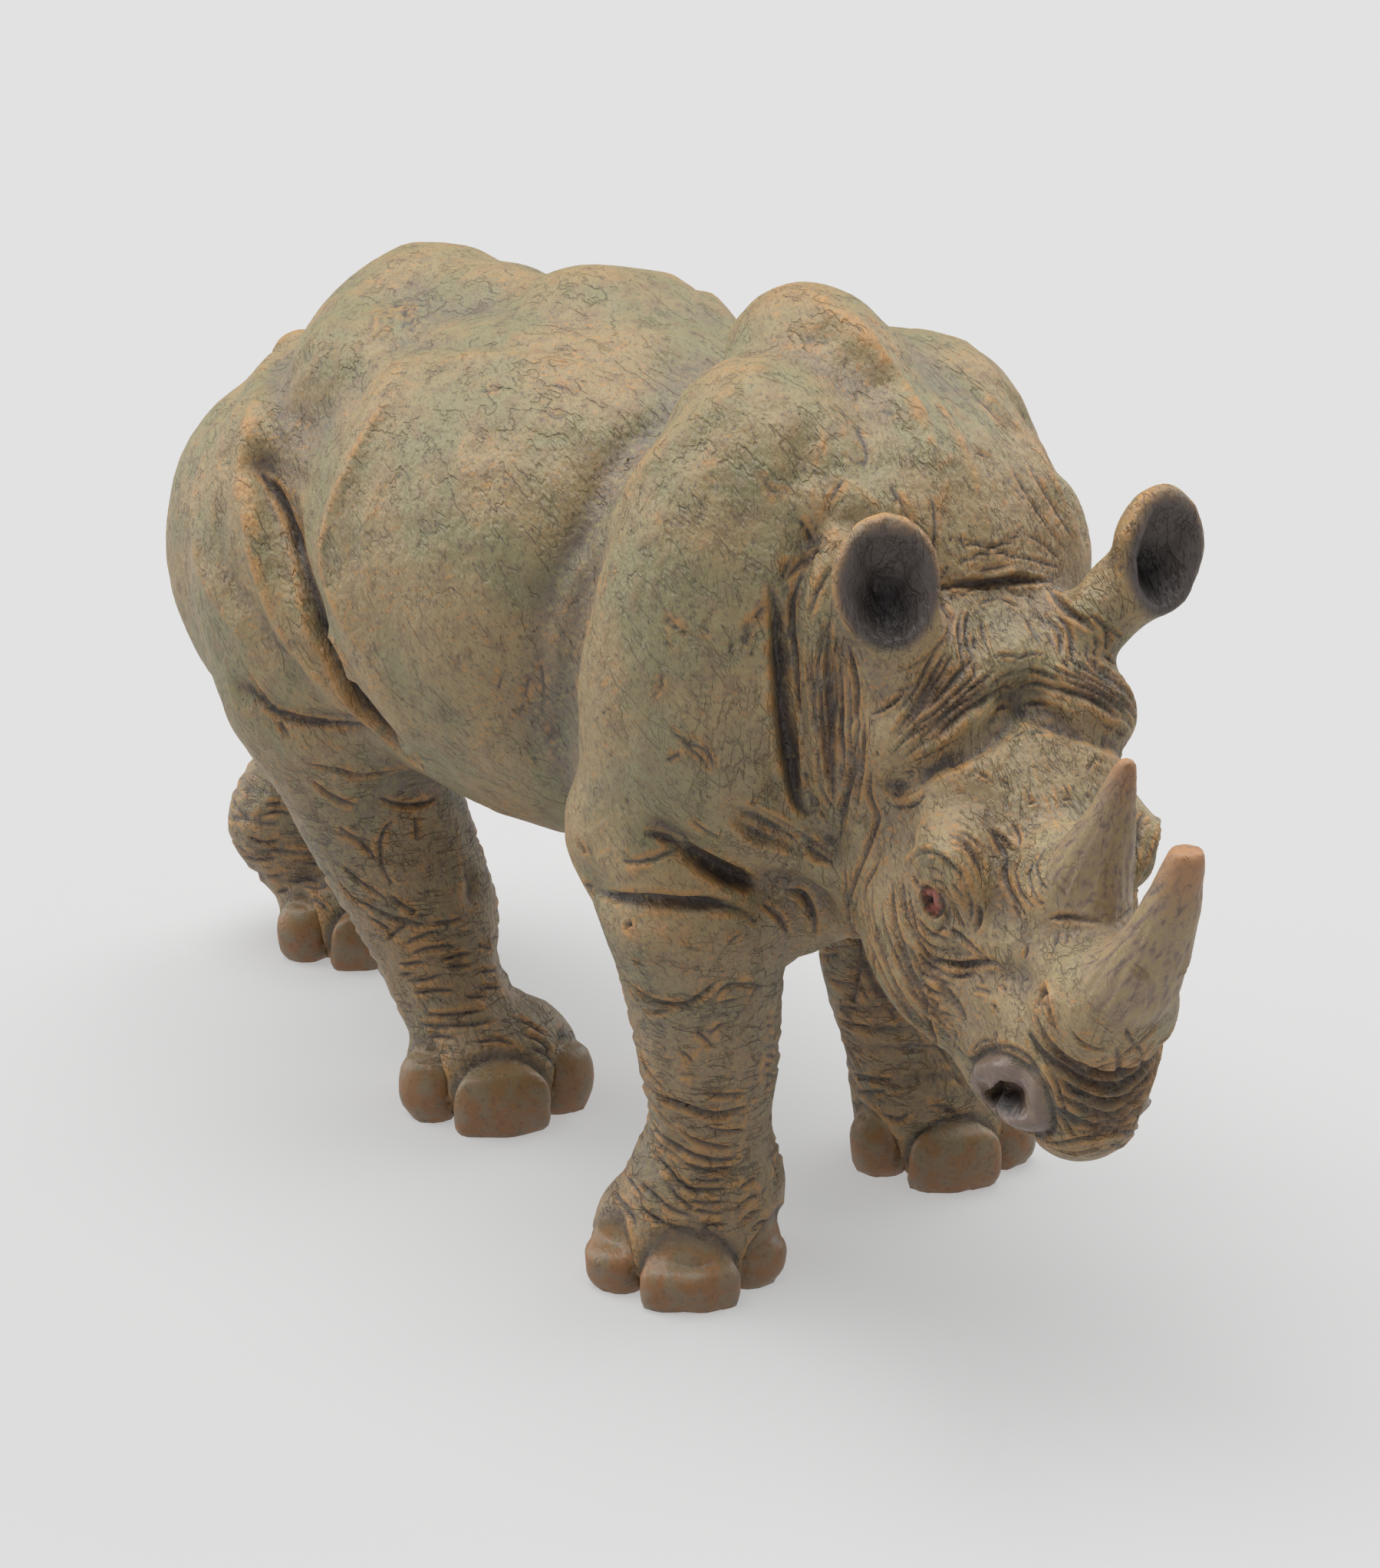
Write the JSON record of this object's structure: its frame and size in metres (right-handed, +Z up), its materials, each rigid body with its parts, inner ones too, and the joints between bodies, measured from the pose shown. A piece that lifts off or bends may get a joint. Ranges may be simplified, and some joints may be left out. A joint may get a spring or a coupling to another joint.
{
  "type": "rhinoceros figurine",
  "caption": "Walking black rhinoceros figurine with a lowered, turned head, raised ears and wrinkled skin, standing on flat soles.",
  "frame": {"origin": "on the floor, below the middle of the figure's box", "axes": "-Y is the way the animal walks, +X is its left side, +Z is up"},
  "size_m": [0.078, 0.2316, 0.1288],
  "materials": {
    "painted_vinyl": "matt hand-painted soft vinyl"
  },
  "bodies": {
    "root": {"rhinoceros": "painted_vinyl"}
  },
  "joints": []
}
